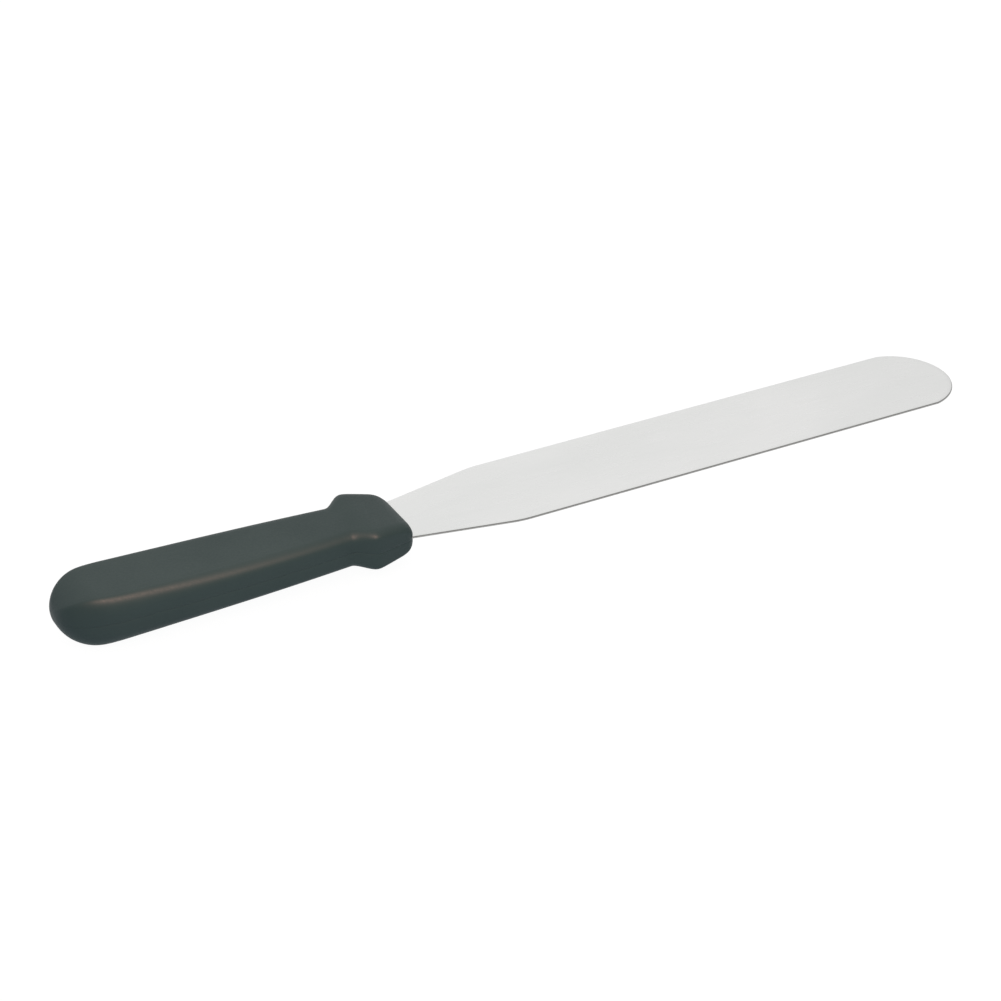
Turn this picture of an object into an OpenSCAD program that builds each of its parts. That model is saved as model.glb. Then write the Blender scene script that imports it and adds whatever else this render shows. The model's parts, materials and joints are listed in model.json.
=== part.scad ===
// Straight baker's spatula: a flat stainless blade whose tang is moulded into a plastic handle.
// +X runs along the spatula towards the blade's tip, +Y across it, +Z up.
// The origin is the centre of the footprint, on the surface that the spatula lies on.

/* [Blade] */
// Length of the blade in front of the handle
blade_l = 204; // [150:1:260]
// Width between the parallel sides
blade_w = 36; // [32:1:44]
// Thickness of the blade, ground down from the sheet on both faces
blade_t = 0.9; // [0.7:0.1:1]
// Width of the root where it leaves the handle
root_w = 22.4; // [20:0.2:22.8]
// Length of the flare from the root to the full width
flare_l = 33.3; // [28:0.1:60]
// Radius that softens the corner at the end of the flare
flare_r = 30; // [10:5:50]
// How much the tip's radius exceeds half the width, which leaves two faint corners
tip_extra_r = 0.5; // [0:0.1:3]

/* [Tang] */
// Length of the tang inside the handle
tang_l = 92; // [80:1:98]
// Width of the tang
tang_w = 14; // [12:0.5:16]
// Thickness of the tang, which is that of the sheet
tang_t = 1.1; // [1.1:0.1:1.5]
// Depth behind the handle's front at which the root steps in to the tang
shoulder_depth = 2.5; // [2:0.5:5]
// Diameter of the holes that the plastic flows through
lock_hole_d = 6; // [4:0.5:7]
// Number of those holes
lock_holes = 3; // [1:1:3]
// Distance from one hole to the next
lock_hole_pitch = 26; // [20:1:28]

/* [Handle plan] */
// Length of the handle
handle_l = 112.4; // [108:0.2:130]
// Width that the grip would have at its rear end if the butt were not rounded
rear_w = 24.6; // [22:0.2:28]
// Width at the middle of the grip
grip_w = 25.4; // [22:0.2:30]
// Width at the neck behind the finger guard
neck_w = 20.8; // [19:0.2:24]
// Width at the finger guard's crest
guard_w = 28.8; // [26:0.2:34]
// Width at the nose, before its corners are rounded
nose_w = 22.8; // [22.6:0.2:26]
// Length of the rounded butt
butt_l = 20.2; // [15:0.2:28]
// Distance from the front of the handle back to the neck
neck_x = 20.9; // [18:0.1:24]
// Distance from the front of the handle back to the guard's crest
crest_x = 13.7; // [11:0.1:15]
// Radius of the nose's corners in plan
nose_r = 3.2; // [1:0.2:4]

/* [Handle thickness] */
// Thickness that the grip would have at its rear end if the butt were not rounded
rear_t = 17.3; // [16.2:0.1:20]
// Thickness at the middle of the grip
grip_t = 13.6; // [12:0.1:16]
// Thickness at the neck
neck_t = 12.1; // [10:0.1:14]
// Thickness at the guard's crest
guard_t = 13.5; // [12:0.1:16]
// Thickness at the nose, before its top and bottom are rounded off
nose_t = 9.7; // [9.3:0.1:12]
// Length over which the butt's top and bottom round off
butt_fall_l = 12.2; // [8:0.2:16]
// How far the butt's top and bottom come in over that length
butt_fall = 8; // [6:0.1:8]
// Length over which the nose's top and bottom round off
nose_fall_l = 5.4; // [3:0.2:7]
// How far the nose's top and bottom come in over that length
nose_fall = 3.2; // [2:0.1:3.6]
// How far the nose's middle lies below the blade's
nose_drop = 0.4; // [0:0.05:0.6]

/* [Handle edges] */
// How far the long edges' rounding reaches in from the sides
edge_in = 4; // [2:0.2:6]
// The same at the rear
edge_in_rear = 3; // [2:0.2:6]
// How far that rounding reaches down from the top at the rear, where the sides bulge
edge_down_rear = 7; // [2:0.2:8]
// The same at the middle of the grip
edge_down_grip = 3.5; // [2:0.1:6]
// The same at the neck
edge_down_neck = 3; // [2:0.2:4]
// The same at the guard's crest
edge_down_guard = 2.1; // [1.5:0.1:4]
// The same at the nose
edge_down_nose = 1.9; // [1:0.1:3]

/* [Hidden] */
$fn = 96;

// Shape of the butt's rounding, seen from above and from the side: 2 would be a true ellipse
butt_power = 2.56;
butt_fall_power = 1.9;
// The flare's slope, and how far its softening arc reaches along each side of the corner
flare_angle = atan((blade_w - root_w) / 2 / flare_l);
flare_reach = flare_r * tan(flare_angle / 2);
flare_steps = 6;
tip_r = blade_w / 2 + tip_extra_r;
tip_x = blade_l - tip_r;
// Share of the way from the guard's crest to the nose over which the crest is softened
gentle_t = 0.09;
// The first lock hole sits this far behind the handle's front
first_hole_x = 27;
// Rings of the handle's skin along each stretch, and points round each corner of a ring
butt_rings = 16;
grip_rings = 13;
flare_rings = 9;
front_rings = 4;
nose_rings = 7;
corner_steps = 7;

function mix(a, b, t) = a + (b - a) * t;
function clamp(t) = min(1, max(0, t));
function ease(t) = t * t * (3 - 2 * t);
// A curve through a, b and c at t = 0, 0.5 and 1
function through(a, b, c, t) = a * (1 - t) * (1 - 2 * t) + 4 * b * t * (1 - t) + c * t * (2 * t - 1);
// 0 up to t = 0, then rising to 1 at t = 1 as a rounded corner does: power 2 gives a quarter circle
function rounding(t, power) = 1 - pow(1 - pow(clamp(t), power), 1 / power);
// How far x lies along the last stretch of length l towards the butt's end, and towards the nose
function at_butt(x, l) = 1 - (x + handle_l) / l;
function at_nose(x, l) = 1 + x / l;
function hypot(a, b) = sqrt(a * a + b * b);
// 0 to 1 in step with t, but starting gently, so that what it drives begins with a small curve
function gentle(t) = (hypot(t, gentle_t) - gentle_t) / (hypot(1, gentle_t) - gentle_t);
// Where x lies along the grip, on the flare to the guard's crest, and from there to the nose
function along_grip(x) = clamp((x + handle_l) / (handle_l - neck_x));
function on_flare(x) = ease(clamp((x + neck_x) / (neck_x - crest_x)));
function along_front(x) = gentle(clamp((x + crest_x) / crest_x));
// A measure that runs through three values along the grip, then to the crest's and the nose's value
function profile(x, rear, middle, neck, crest, front) =
    mix(through(rear, middle, neck, along_grip(x)), mix(crest, front, along_front(x)), on_flare(x));

function half_w(x) = profile(x, rear_w, grip_w, neck_w, guard_w, nose_w) / 2
    * (1 - rounding(at_butt(x, butt_l), butt_power)) - nose_r * rounding(at_nose(x, nose_r), 2);
function half_t(x) = profile(x, rear_t, grip_t, neck_t, guard_t, nose_t) / 2
    - butt_fall * rounding(at_butt(x, butt_fall_l), butt_fall_power)
    - nose_fall * rounding(at_nose(x, nose_fall_l), 2);
// The middle of the cross-section sinks a little from the guard's crest to the nose
function mid_z(x) = -nose_drop * on_flare(x) * along_front(x);
function edge_across(x) = profile(x, edge_in_rear, edge_in, edge_in, edge_in, edge_in);
function edge_down(x) = profile(x, edge_down_rear, edge_down_grip, edge_down_neck,
    edge_down_guard, edge_down_nose);

// Stations of the rings, closest together where the shape turns fastest
stations = [
    for (i = [1:butt_rings]) -handle_l + butt_l * (1 - cos(90 * i / butt_rings)),
    for (i = [1:grip_rings]) mix(butt_l - handle_l, -neck_x, i / grip_rings),
    for (i = [1:flare_rings]) mix(-neck_x, -crest_x, i / flare_rings),
    for (i = [1:front_rings]) mix(-crest_x, -nose_fall_l, i / front_rings),
    for (i = [1:nose_rings]) -nose_fall_l * (1 - sin(90 * i / nose_rings))
];
// The spatula lies on the thickest part of its handle
rest_z = max([for (x = stations) half_t(x)]);
centre_x = (blade_l - handle_l) / 2;

// One ring: a rectangle of the local width and thickness with elliptical corners
function ring(x) =
    let (w = half_w(x), h = half_t(x), in = min(edge_across(x), 0.98 * w), down = min(edge_down(x), 0.98 * h))
    [for (quarter = [0:3], i = [0:corner_steps])
        let (a = 90 * (quarter + i / corner_steps), side = (quarter == 0 || quarter == 3) ? 1 : -1,
             top = quarter < 2 ? 1 : -1)
        [x, side * (w - in) + in * cos(a), mid_z(x) + top * (h - down) + down * sin(a)]];

// The smooth outer shape of the handle, front at x = 0, closed by a point at the butt
module handle_skin() {
    n = 4 * (corner_steps + 1);
    last = len(stations) - 1;
    points = [for (x = stations) each ring(x), [-handle_l, 0, 0]];
    butt_point = len(points) - 1;
    polyhedron(points, [
        for (j = [0:n - 1]) [butt_point, (j + 1) % n, j],
        for (i = [0:last - 1], j = [0:n - 1])
            let (here = i * n + j, beside = i * n + (j + 1) % n)
            each [[here, beside, here + n], [beside, beside + n, here + n]],
        [for (j = [0:n - 1]) last * n + j]
    ], convexity = 4);
}

// Half of the flared root's outline: from the handle along the slope, then round the softening arc
flare_side = [
    [0, root_w / 2],
    for (i = [0:flare_steps])
        let (a = flare_angle * (1 - i / flare_steps))
        [flare_l + flare_reach - flare_r * sin(a), blade_w / 2 - flare_r * (1 - cos(a))]
];
// Half of the root's outline inside the handle, in line with the slope
shoulder_side = [[-shoulder_depth, root_w / 2 - shoulder_depth * tan(flare_angle)], [0, root_w / 2]];

// A piece of sheet metal of thickness t, about the middle plane
module sheet(t) {
    translate([0, 0, -t / 2]) linear_extrude(t) children();
}

// An outline that is the same on both sides of the centre line, from its half
module both_sides(half) {
    polygon([each half, for (i = [len(half) - 1:-1:0]) [half[i][0], -half[i][1]]]);
}

// The tip is a disc, trimmed to the blade's width
module tip() {
    intersection() {
        translate([tip_x, 0]) sheet(blade_t) circle(tip_r);
        translate([tip_x - tip_r, -blade_w / 2]) sheet(blade_t) square([2 * tip_r, blade_w]);
    }
}

module tang() {
    difference() {
        union() {
            sheet(tang_t) both_sides(shoulder_side);
            translate([tang_w / 2 - tang_l, -tang_w / 2]) sheet(tang_t) square([tang_l - tang_w / 2, tang_w]);
            translate([tang_w / 2 - tang_l, 0]) sheet(tang_t) circle(tang_w / 2);
        }
        for (i = [0:lock_holes - 1])
            translate([-first_hole_x - i * lock_hole_pitch, 0])
                cylinder(h = 2 * tang_t, r = lock_hole_d / 2, center = true);
    }
}

// Blade and tang are one stamping; the tang meets the thinner blade flush with the handle's front
module stamping() {
    sheet(blade_t) both_sides([each flare_side, [tip_x, blade_w / 2]]);
    tip();
    tang();
}

module placed() {
    translate([-centre_x, 0, rest_z]) children();
}

module blade() {
    color([0.88, 0.88, 0.86]) placed() stamping();
}

// The plastic fills everything round the tang, its holes included
module handle() {
    color([0.27, 0.30, 0.30]) placed() difference() {
        handle_skin();
        stamping();
    }
}

blade();
handle();
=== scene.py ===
"""A straight baker's spatula: the looks of its steel blade and plastic handle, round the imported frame."""

import json
import math

import bmesh
import bpy
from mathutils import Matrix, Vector


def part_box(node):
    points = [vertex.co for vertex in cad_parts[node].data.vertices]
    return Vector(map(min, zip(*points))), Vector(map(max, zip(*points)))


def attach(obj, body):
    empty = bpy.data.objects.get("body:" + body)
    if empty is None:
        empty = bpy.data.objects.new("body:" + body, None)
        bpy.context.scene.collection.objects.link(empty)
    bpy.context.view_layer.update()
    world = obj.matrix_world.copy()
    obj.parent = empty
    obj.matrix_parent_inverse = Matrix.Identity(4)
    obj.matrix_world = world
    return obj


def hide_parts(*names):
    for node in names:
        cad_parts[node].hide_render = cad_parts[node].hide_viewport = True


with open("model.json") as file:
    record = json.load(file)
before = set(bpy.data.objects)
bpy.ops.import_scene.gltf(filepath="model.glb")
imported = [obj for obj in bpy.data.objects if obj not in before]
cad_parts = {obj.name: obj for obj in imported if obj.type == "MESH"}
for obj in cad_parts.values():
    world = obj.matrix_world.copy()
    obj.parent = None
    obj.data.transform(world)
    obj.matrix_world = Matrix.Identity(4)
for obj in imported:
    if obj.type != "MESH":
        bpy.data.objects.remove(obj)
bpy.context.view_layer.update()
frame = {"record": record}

# ---------------------------------------------------------------- sizes, in millimetres and degrees

# One millimetre in the frame's metres
MM = 0.001


def mount_z(name):
    """The height in metres of a flat-face mount in the record."""
    return next(m["pos_m"][2] for m in frame["record"]["mounts"] if m["name"] == name)


blade_low, blade_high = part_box("blade")
handle_low, handle_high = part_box("handle")
FRONT = Vector((handle_high.x, 0, (blade_low.z + blade_high.z) / 2))

HANDLE_L = (handle_high.x - handle_low.x) / MM
BLADE_L = (blade_high.x - handle_high.x) / MM
BLADE_W = (blade_high.y - blade_low.y) / MM
BLADE_T = (mount_z("blade_top") - mount_z("blade_underside")) / MM
TANG_L = (handle_high.x - blade_low.x) / MM
GUARD_W = (handle_high.y - handle_low.y) / MM

# The blade's outline, as the CAD model has it
ROOT_W = 22.4
FLARE_L = 33.3
FLARE_R = 30
TIP_EXTRA_R = 0.5
TIP_R = BLADE_W / 2 + TIP_EXTRA_R
TANG_W = 14
SHOULDER_DEPTH = 2.5
LOCK_HOLE_R = 3
FIRST_HOLE_X = 27
LOCK_HOLE_PITCH = 26
LOCK_HOLES = 3

# The ground edge, from the flat face outwards to where the edge is upright: how far in from the
# outline, and how far below the face
EDGE_PROFILE = [(1.7, 0), (1.5, 0), (0.9, 0.02), (0.4, 0.05), (0.2, 0.1), (0.06, 0.2), (0, 0.34)]
# The outermost part of that profile shows the cut metal, which is duller than the faces, and whose colour
# is painted darker as painted shade for the dark surroundings that the thin edge reflects
CUT_EDGE_IN = 0.2

# The handle's measures at its rear, the middle of the grip, the neck, the guard's crest and the nose:
# its width, its thickness, and how far its long edges' rounding reaches in from the side and down
WIDTHS = (24.6, 25.4, 20.8, GUARD_W, 22.8)
THICKNESSES = (17.3, 13.6, 12.1, 13.5, 9.7)
EDGE_INS = (3, 4, 4, 4, 4)
EDGE_DOWNS = (7, 3.5, 3, 2.1, 1.9)
# How far behind the handle's front the neck and the guard's crest lie
NECK_X = 20.9
CREST_X = 13.7
# The butt's rounding, seen from above and from the side
BUTT_L = 20.2
BUTT_POWER = 2.56
BUTT_FALL_L = 12.2
BUTT_FALL = 8
BUTT_FALL_POWER = 1.9
# The nose's rounding, seen from above and from the side, and how far its middle lies below the blade's
NOSE_R = 3.2
NOSE_FALL_L = 5.4
NOSE_FALL = 3.2
NOSE_DROP = 0.4
# Share of the way from the guard's crest to the nose over which the crest is softened
GENTLE_T = 0.09

# The line where the mould's halves met, round the handle at its mid-height
PARTING_W = 0.16
PARTING_DEPTH = 0.05

# The slot round the blade at the handle's front, where the plastic has shrunk back from the steel
SLOT_GAP = 0.1
SLOT_DEPTH = 1.2

# How finely the handle is meshed: steps round each quarter of a ring, and rings along each stretch
CORNER_STEPS = 12
SIDE_STEPS = 4
TOP_STEPS = 4
BUTT_RINGS = 30
GRIP_RINGS = 30
FLARE_RINGS = 16
FRONT_RINGS = 12
NOSE_RINGS = 20
# The same for the blade's outline: steps round the tang's end, the flare's arc, the tip and a hole
TANG_STEPS = 16
FLARE_STEPS = 10
TIP_STEPS = 48
HOLE_STEPS = 32

# Edges that turn more than this are shaded as creases
HANDLE_SHARP_ANGLE = 40
BLADE_SHARP_ANGLE = 50


# ---------------------------------------------------------------- helpers

def mix(a, b, t):
    """The value that lies at t on the way from a to b."""
    return a + (b - a) * t


def clamp(t):
    """The value held between 0 and 1."""
    return min(1, max(0, t))


def place(x, y, z):
    """A point given in millimetres from the middle of the handle's front, in the frame's metres."""
    return FRONT + Vector((x, y, z)) * MM


def arc(centre, radius, start, end, steps):
    """Points on a circle, from one angle to another in degrees."""
    angles = [math.radians(mix(start, end, i / steps)) for i in range(steps + 1)]
    return [(centre[0] + radius * math.cos(a), centre[1] + radius * math.sin(a)) for a in angles]


def new_object(name, mesh):
    """An object from a bmesh, which is freed, linked to the scene."""
    data = bpy.data.meshes.new(name)
    mesh.to_mesh(data)
    mesh.free()
    made = bpy.data.objects.new(name, data)
    bpy.context.scene.collection.objects.link(made)
    return made


def band(mesh, first, second):
    """Faces between two closed loops that have as many points."""
    faces = []
    for j in range(len(first)):
        following = (j + 1) % len(first)
        faces.append(mesh.faces.new((first[j], first[following], second[following], second[j])))
    return faces


def make_piece(name, mesh, node, sharp_angle, materials):
    """A piece from a bmesh: it stands for a CAD node and rides on the one body."""
    bmesh.ops.recalc_face_normals(mesh, faces=mesh.faces)
    piece = new_object(name, mesh)
    piece.data.shade_smooth()
    piece.data.set_sharp_from_angle(angle=math.radians(sharp_angle))
    for material in materials:
        piece.data.materials.append(material)
    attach(piece, "root")
    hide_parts(node)
    return piece


# ---------------------------------------------------------------- the handle's shape

def ease(t):
    """0 to 1, level at both ends."""
    return t * t * (3 - 2 * t)


def gentle(t):
    """0 to 1 in step with t, but starting gently, so that what it drives begins with a small curve."""
    return (math.hypot(t, GENTLE_T) - GENTLE_T) / (math.hypot(1, GENTLE_T) - GENTLE_T)


def through(a, b, c, t):
    """A curve through a, b and c at t = 0, 0.5 and 1."""
    return a * (1 - t) * (1 - 2 * t) + 4 * b * t * (1 - t) + c * t * (2 * t - 1)


def on_flare(x):
    """0 on the grip and 1 in front of the guard's crest."""
    return ease(clamp((x + NECK_X) / (NECK_X - CREST_X)))


def along_front(x):
    """0 at the guard's crest and 1 at the nose."""
    return gentle(clamp((x + CREST_X) / CREST_X))


def profile(x, values):
    """A measure that follows the grip, swells at the guard's crest and shrinks to the nose."""
    rear, middle, neck, crest, front = values
    along_grip = clamp((x + HANDLE_L) / (HANDLE_L - NECK_X))
    return mix(through(rear, middle, neck, along_grip), mix(crest, front, along_front(x)), on_flare(x))


def rounding(t, power):
    """0 up to t = 0, then rising to 1 at t = 1 as a rounded corner does: power 2 gives a quarter circle."""
    return 1 - (1 - clamp(t) ** power) ** (1 / power)


def at_butt(x, length):
    """How far x lies along the last stretch of that length towards the butt's end."""
    return 1 - (x + HANDLE_L) / length


def at_nose(x, length):
    """How far x lies along the last stretch of that length towards the nose."""
    return 1 + x / length


# The corners' rounding takes up at most this share of a ring's half width and half thickness
CORNER_SHARE = 0.98


def handle_ring(x):
    """A cross-section of the handle at x: a rectangle with elliptical corners and a fine parting line."""
    w = profile(x, WIDTHS) / 2 * (1 - rounding(at_butt(x, BUTT_L), BUTT_POWER))
    w -= NOSE_R * rounding(at_nose(x, NOSE_R), 2)
    h = profile(x, THICKNESSES) / 2 - BUTT_FALL * rounding(at_butt(x, BUTT_FALL_L), BUTT_FALL_POWER)
    # The spatula lies on the handle's thickest ring, so no ring reaches below the floor
    h = min(h - NOSE_FALL * rounding(at_nose(x, NOSE_FALL_L), 2), FRONT.z / MM)
    across = min(profile(x, EDGE_INS), CORNER_SHARE * w)
    down = min(profile(x, EDGE_DOWNS), CORNER_SHARE * h)
    angles = [math.radians(90 * i / CORNER_STEPS) for i in range(CORNER_STEPS + 1)]
    corner = [(w - across + across * math.cos(a), h - down + down * math.sin(a)) for a in angles]
    line_top = min(PARTING_W, h - down) / 2
    side = [(w, mix(line_top, h - down, k / SIDE_STEPS)) for k in range(SIDE_STEPS)]
    top = [((w - across) * (1 - k / TOP_STEPS), h) for k in range(1, TOP_STEPS + 1)]
    quarter = [(w - min(PARTING_DEPTH, line_top), 0)] + side + corner + top
    upper = quarter + [(-y, z) for y, z in quarter[-2::-1]]
    sunk = NOSE_DROP * on_flare(x) * along_front(x)
    return [(y, z - sunk) for y, z in upper + [(y, -z) for y, z in upper[-2:0:-1]]]


def steps_to_one(count):
    """Equal steps up to 1, without the 0 that they start from."""
    return [i / count for i in range(1, count + 1)]


def handle_stations():
    """Where the handle's rings stand, closest together where the shape turns fastest."""
    butt = [-HANDLE_L + BUTT_L * (1 - math.cos(math.radians(90 * t))) for t in steps_to_one(BUTT_RINGS)]
    grip = [mix(BUTT_L - HANDLE_L, -NECK_X, t) for t in steps_to_one(GRIP_RINGS)]
    flare = [mix(-NECK_X, -CREST_X, t) for t in steps_to_one(FLARE_RINGS)]
    front = [mix(-CREST_X, -NOSE_FALL_L, t) for t in steps_to_one(FRONT_RINGS)]
    nose = [-NOSE_FALL_L * (1 - math.sin(math.radians(90 * t))) for t in steps_to_one(NOSE_RINGS)]
    return butt + grip + flare + front + nose


def cut_away(piece, cutter, sharp_angle):
    """Takes the cutter's volume out of the piece."""
    modifier = piece.modifiers.new("cut", "BOOLEAN")
    modifier.operation = "DIFFERENCE"
    modifier.solver = "EXACT"
    modifier.object = cutter
    bpy.context.view_layer.update()
    cut = bpy.data.meshes.new_from_object(piece.evaluated_get(bpy.context.evaluated_depsgraph_get()))
    piece.modifiers.clear()
    cut.name = piece.name
    piece.data = cut
    cut.set_sharp_from_angle(angle=math.radians(sharp_angle))


def slot_cutter():
    """The room round the blade's root, open to the front."""
    mesh = bmesh.new()
    # A cube of size 2 has its corners at 1 and -1, which the slot's half sizes then scale
    bmesh.ops.create_cube(mesh, size=2)
    half = Vector((SLOT_DEPTH, ROOT_W / 2 + SLOT_GAP, BLADE_T / 2 + SLOT_GAP)) * MM
    for corner in mesh.verts:
        corner.co = FRONT + corner.co * half
    return new_object("slot_cutter", mesh)


def build_handle():
    """The moulding: a skin over the rings, closed by a point at the butt, with the slot cut out."""
    mesh = bmesh.new()
    rings = [[mesh.verts.new(place(x, y, z)) for y, z in handle_ring(x)] for x in handle_stations()]
    end = mesh.verts.new(place(-HANDLE_L, 0, 0))
    for j in range(len(rings[0])):
        mesh.faces.new((end, rings[0][j], rings[0][j - 1]))
    for back, ahead in zip(rings, rings[1:]):
        band(mesh, back, ahead)
    mesh.faces.new(rings[-1])
    materials = [plastic_material()]
    piece = make_piece("handle_moulding", mesh, "handle", HANDLE_SHARP_ANGLE, materials)
    cutter = slot_cutter()
    cut_away(piece, cutter, HANDLE_SHARP_ANGLE)
    bpy.data.objects.remove(cutter)
    return piece


# ---------------------------------------------------------------- the blade's shape

def blade_half_outline():
    """The outline's +Y half, from the tang's rear end to the tip."""
    slope = math.degrees(math.atan((BLADE_W - ROOT_W) / 2 / FLARE_L))
    reach = FLARE_R * math.tan(math.radians(slope / 2))
    inner_w = ROOT_W / 2 - SHOULDER_DEPTH * math.tan(math.radians(slope))
    tang_end = arc((TANG_W / 2 - TANG_L, 0), TANG_W / 2, 180, 90, TANG_STEPS)
    shoulder = [(-SHOULDER_DEPTH, TANG_W / 2), (-SHOULDER_DEPTH, inner_w), (0, ROOT_W / 2)]
    flare = arc((FLARE_L + reach, BLADE_W / 2 - FLARE_R), FLARE_R, 90 + slope, 90, FLARE_STEPS)
    corner = math.degrees(math.asin(BLADE_W / 2 / TIP_R))
    tip = arc((BLADE_L - TIP_R, 0), TIP_R, corner, 0, TIP_STEPS)
    return tang_end + shoulder + flare + tip


# The cosine between a corner's mitre and its sides' normals counts as at least this, so that the
# mitres of sharp corners stay short
MITRE_LIMIT = 0.3


def inset(outline, distance):
    """The closed outline moved inwards, each corner along its mitre."""
    moved = []
    for i, point in enumerate(outline):
        before = (Vector(point) - Vector(outline[i - 1])).normalized()
        after = (Vector(outline[(i + 1) % len(outline)]) - Vector(point)).normalized()
        normals = [Vector((d.y, -d.x)) for d in (before, after)]
        mitre = (normals[0] + normals[1]).normalized()
        moved.append(Vector(point) + mitre * distance / max(MITRE_LIMIT, mitre.dot(normals[0])))
    return moved


def ground_edge(mesh):
    """The rounded edge all round the stamping. It returns the borders of the upper and the lower face."""
    half = blade_half_outline()
    outline = half + [(x, -y) for x, y in half[-2:0:-1]]
    levels = [(i, BLADE_T / 2 - d) for i, d in EDGE_PROFILE]
    levels += [(i, -z) for i, z in reversed(levels)]
    loops = [[mesh.verts.new(place(p.x, p.y, z)) for p in inset(outline, i)] for i, z in levels]
    for upper, lower, (inner, _), (outer, _) in zip(loops, loops[1:], levels, levels[1:]):
        for face in band(mesh, upper, lower):
            face.material_index = int(max(inner, outer) <= CUT_EDGE_IN)
    return loops[0], loops[-1]


def lock_hole(mesh, hole_x):
    """The wall of a hole in the tang. It returns the hole's rims on the upper and the lower face."""
    circle = arc((hole_x, 0), LOCK_HOLE_R, 0, 360, HOLE_STEPS)[:-1]
    rims = [[mesh.verts.new(place(x, y, z)) for x, y in circle] for z in (BLADE_T / 2, -BLADE_T / 2)]
    band(mesh, *rims)
    return rims


def flat_face(mesh, borders):
    """Fills the area inside the first border, apart from the holes that the other borders go round."""
    edges = [mesh.edges.get((border[j - 1], border[j])) for border in borders for j in range(len(border))]
    bmesh.ops.triangle_fill(mesh, use_beauty=True, use_dissolve=False, edges=edges)


def build_blade():
    """The stamping: its edge, the walls of its holes, and the two flat faces that they border."""
    mesh = bmesh.new()
    edge = ground_edge(mesh)
    holes = [lock_hole(mesh, -FIRST_HOLE_X - i * LOCK_HOLE_PITCH) for i in range(LOCK_HOLES)]
    for borders in zip(edge, *holes):
        flat_face(mesh, borders)
    materials = [steel_material(), edge_material_painted_shade()]
    make_piece("blade_ground", mesh, "blade", BLADE_SHARP_ANGLE, materials)


# ---------------------------------------------------------------- materials

def new_material(name):
    """A material with its node tree and its main shader."""
    material = bpy.data.materials.new(name)
    material.use_nodes = True
    tree = material.node_tree
    return material, tree, tree.nodes["Principled BSDF"]


def add(tree, kind, settings=(), inputs=()):
    """A node of that kind, with its properties and its unlinked inputs set."""
    node = tree.nodes.new(kind)
    for key, value in settings:
        setattr(node, key, value)
    for key, value in inputs:
        node.inputs[key].default_value = value
    return node


def noise(tree, vector, scale, detail, stretch=(1, 1, 1)):
    """A noise pattern of so many features per metre: a stretch under 1 lengthens them along its axis."""
    mapping = add(tree, "ShaderNodeMapping", inputs=[("Scale", stretch)])
    pattern = add(tree, "ShaderNodeTexNoise", inputs=[("Scale", scale), ("Detail", detail)])
    tree.links.new(vector, mapping.inputs["Vector"])
    tree.links.new(mapping.outputs["Vector"], pattern.inputs["Vector"])
    return pattern.outputs["Fac"]


# Most of a noise pattern's values lie between these
NOISE_LOW = 0.3
NOISE_HIGH = 0.7


def remap(tree, value, low, high, from_low=NOISE_LOW, from_high=NOISE_HIGH, interpolation="LINEAR"):
    """The value's spread from from_low to from_high, stretched to run from low to high."""
    node = add(tree, "ShaderNodeMapRange", [("interpolation_type", interpolation)],
               [("From Min", from_low), ("From Max", from_high), ("To Min", low), ("To Max", high)])
    tree.links.new(value, node.inputs["Value"])
    return node.outputs["Result"]


def between(tree, factor, first, second):
    """A colour that runs from the first to the second with the factor."""
    node = add(tree, "ShaderNodeMix", [("data_type", "RGBA")])
    node.inputs["A"].default_value = (*first, 1)
    node.inputs["B"].default_value = (*second, 1)
    tree.links.new(factor, node.inputs["Factor"])
    return node.outputs["Result"]


def bump(tree, height, strength, distance):
    """The normal of a surface raised by the height pattern: distance is its full height in metres."""
    node = add(tree, "ShaderNodeBump", inputs=[("Strength", strength), ("Distance", distance)])
    tree.links.new(height, node.inputs["Height"])
    return node.outputs["Normal"]


def steel_material():
    """Satin stainless steel: fine grinding lines along the blade, and a faint cloudiness from polishing."""
    material, tree, shader = new_material("satin_stainless")
    place_in_frame = add(tree, "ShaderNodeTexCoord").outputs["Object"]
    lines = noise(tree, place_in_frame, scale=2600, detail=4, stretch=(0.02, 1, 1))
    clouds = noise(tree, place_in_frame, scale=28, detail=3, stretch=(0.6, 1, 1))
    cloudiness = remap(tree, clouds, low=0, high=1)
    colour = between(tree, cloudiness, first=(0.78, 0.815, 0.803), second=(0.83, 0.86, 0.85))
    tree.links.new(colour, shader.inputs["Base Color"])
    tree.links.new(remap(tree, lines, low=0.26, high=0.36), shader.inputs["Roughness"])
    tree.links.new(bump(tree, lines, strength=0.12, distance=0.02 * MM), shader.inputs["Normal"])
    shader.inputs["Metallic"].default_value = 1
    return material


def edge_material_painted_shade():
    """The blade's cut edge: the same steel, duller and scored across by the wheel that rounded it, with a
    darker colour that is painted shade for the dark surroundings that the thin edge reflects.
    """
    material, tree, shader = new_material("cut_edge_stainless_painted_shade")
    place_in_frame = add(tree, "ShaderNodeTexCoord").outputs["Object"]
    scores = noise(tree, place_in_frame, scale=1800, detail=3, stretch=(1, 1, 0.1))
    wear = remap(tree, scores, low=0, high=1)
    # Painted shade: both greys are far darker than the faces' steel and stand for the dark reflection along
    # the thin edge. The scoring only spreads the tone between them.
    colour = between(tree, wear, first=(0.38, 0.38, 0.37), second=(0.46, 0.46, 0.45))
    tree.links.new(colour, shader.inputs["Base Color"])
    tree.links.new(remap(tree, scores, low=0.42, high=0.55), shader.inputs["Roughness"])
    tree.links.new(bump(tree, scores, strength=0.2, distance=0.02 * MM), shader.inputs["Normal"])
    shader.inputs["Metallic"].default_value = 1
    return material


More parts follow.
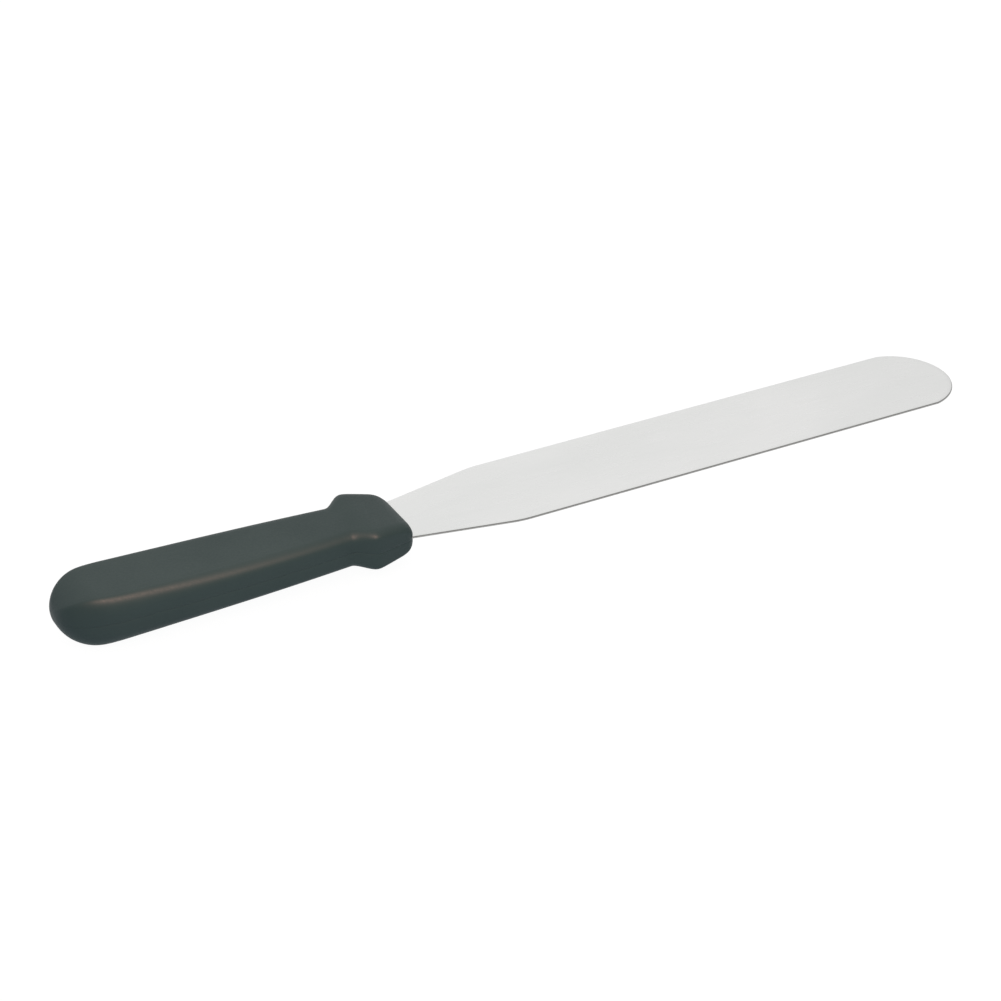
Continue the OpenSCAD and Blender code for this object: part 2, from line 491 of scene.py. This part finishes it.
def plastic_material():
    """Dark slate polypropylene with a fine spark-eroded texture."""
    material, tree, shader = new_material("slate_polypropylene")
    place_in_frame = add(tree, "ShaderNodeTexCoord").outputs["Object"]
    grain = noise(tree, place_in_frame, scale=1500, detail=3)
    mottle = noise(tree, place_in_frame, scale=60, detail=4)
    paleness = remap(tree, mottle, low=0, high=1)
    colour = between(tree, paleness, first=(0.0135, 0.0305, 0.0335), second=(0.016, 0.0345, 0.0375))
    tree.links.new(colour, shader.inputs["Base Color"])
    tree.links.new(remap(tree, grain, low=0.47, high=0.57), shader.inputs["Roughness"])
    tree.links.new(bump(tree, grain, strength=0.25, distance=0.04 * MM), shader.inputs["Normal"])
    shader.inputs["Specular IOR Level"].default_value = 0.2
    return material


# ---------------------------------------------------------------- studio, in metres and degrees

# Wide enough for the horizon to be far away in low views
FLOOR_R = 40
FLOOR_SIDES = 96
# The floor's own light, with the little that it scatters, makes it as white as the photo's background
FLOOR_GLOW = 0.96
FLOOR_GREY = 0.13
FLOOR_ROUGHNESS = 0.9


def build_floor():
    """A plain floor that gives off light of its own, like a light table."""
    mesh = bmesh.new()
    bmesh.ops.create_circle(mesh, cap_ends=True, segments=FLOOR_SIDES, radius=FLOOR_R)
    floor = new_object("floor", mesh)
    material, _, shader = new_material("pale_floor")
    shader.inputs["Base Color"].default_value = (FLOOR_GREY, FLOOR_GREY, FLOOR_GREY, 1)
    shader.inputs["Roughness"].default_value = FLOOR_ROUGHNESS
    shader.inputs["Specular IOR Level"].default_value = 0
    shader.inputs["Emission Color"].default_value = (1, 1, 1, 1)
    shader.inputs["Emission Strength"].default_value = FLOOR_GLOW
    floor.data.materials.append(material)


def area_light(name, position, target, size, power, colour):
    """A rectangular lamp that shines from its position towards the target, unseen by the camera."""
    light = bpy.data.lights.new(name, "AREA")
    light.shape = "RECTANGLE"
    light.size, light.size_y = size
    light.energy = power
    light.color = colour
    lamp = bpy.data.objects.new(name, light)
    lamp.location = position
    lamp.rotation_euler = (Vector(target) - Vector(position)).to_track_quat("-Z", "Y").to_euler()
    lamp.visible_camera = False
    bpy.context.scene.collection.objects.link(lamp)
    return lamp


def light_only(lamp, pieces):
    """Keeps the lamp's light off everything but these pieces."""
    lit = bpy.data.collections.new(lamp.name + "_receivers")
    for piece in pieces:
        lit.objects.link(piece)
    lamp.light_linking.receiver_collection = lit


def light_handle(handle):
    """A warm softbox over the grip, for the highlight along its near edge, which stays off the steel."""
    key = area_light("key_softbox", position=(-0.11, -0.1, 0.2), target=(-0.12, 0, 0.01),
                     size=(0.1, 0.08), power=0.95, colour=(1, 0.62, 0.5))
    light_only(key, [handle])


# The room is one soft glow, brightest around a direction high behind the object and dim behind the camera
GLOW_DIRECTION = (0, 0.84, 0.54)
GLOW_COLOUR = (0.985, 0.95, 0.95, 1)
GLOW_BRIGHT = 1.005
GLOW_DIM = 0.38
# It is at its dimmest where the cosine of the angle to that direction is this or less
GLOW_EDGE = 0.2


def light_room():
    """The world around the object, as the soft glow."""
    world = bpy.data.worlds.new("studio")
    world.use_nodes = True
    tree = world.node_tree
    direction = add(tree, "ShaderNodeTexCoord").outputs["Generated"]
    towards_glow = add(tree, "ShaderNodeVectorMath", [("operation", "DOT_PRODUCT")])
    tree.links.new(direction, towards_glow.inputs[0])
    towards_glow.inputs[1].default_value = GLOW_DIRECTION
    brightness = remap(tree, towards_glow.outputs["Value"], low=GLOW_DIM, high=GLOW_BRIGHT,
                       from_low=GLOW_EDGE, from_high=1, interpolation="SMOOTHSTEP")
    tree.links.new(brightness, tree.nodes["Background"].inputs["Strength"])
    tree.nodes["Background"].inputs["Color"].default_value = GLOW_COLOUR
    bpy.context.scene.world = world


# The camera looks at a point on the blade's middle plane, a little behind the whole spatula's middle
CAMERA_TARGET = Vector((-0.0129, -0.0043, FRONT.z))
CAMERA_AZIMUTH = -28.3
CAMERA_ELEVATION = 31.1
CAMERA_DISTANCE = 0.85
# The lens and the width of the sensor, in millimetres as camera makers give them
CAMERA_LENS = 98.45
CAMERA_SENSOR_W = 36


def place_camera():
    """The scene's camera, at the photo's angle."""
    azimuth = math.radians(CAMERA_AZIMUTH)
    elevation = math.radians(CAMERA_ELEVATION)
    back = Vector((math.sin(azimuth) * math.cos(elevation), -math.cos(azimuth) * math.cos(elevation),
                   math.sin(elevation)))
    camera = bpy.data.cameras.new("camera")
    camera.sensor_width = CAMERA_SENSOR_W
    camera.lens = CAMERA_LENS
    # The floor's far side is still in reach
    camera.clip_end = 2 * FLOOR_R
    holder = bpy.data.objects.new("camera", camera)
    holder.location = CAMERA_TARGET + back * CAMERA_DISTANCE
    holder.rotation_euler = (-back).to_track_quat("-Z", "Y").to_euler()
    bpy.context.scene.collection.objects.link(holder)
    bpy.context.scene.camera = holder


# ---------------------------------------------------------------- the scene

# Without a film curve, so that the render's whites and greys can be compared with the photo's
bpy.context.scene.view_settings.view_transform = "Standard"
place_camera()
light_room()
build_floor()
light_handle(build_handle())
build_blade()
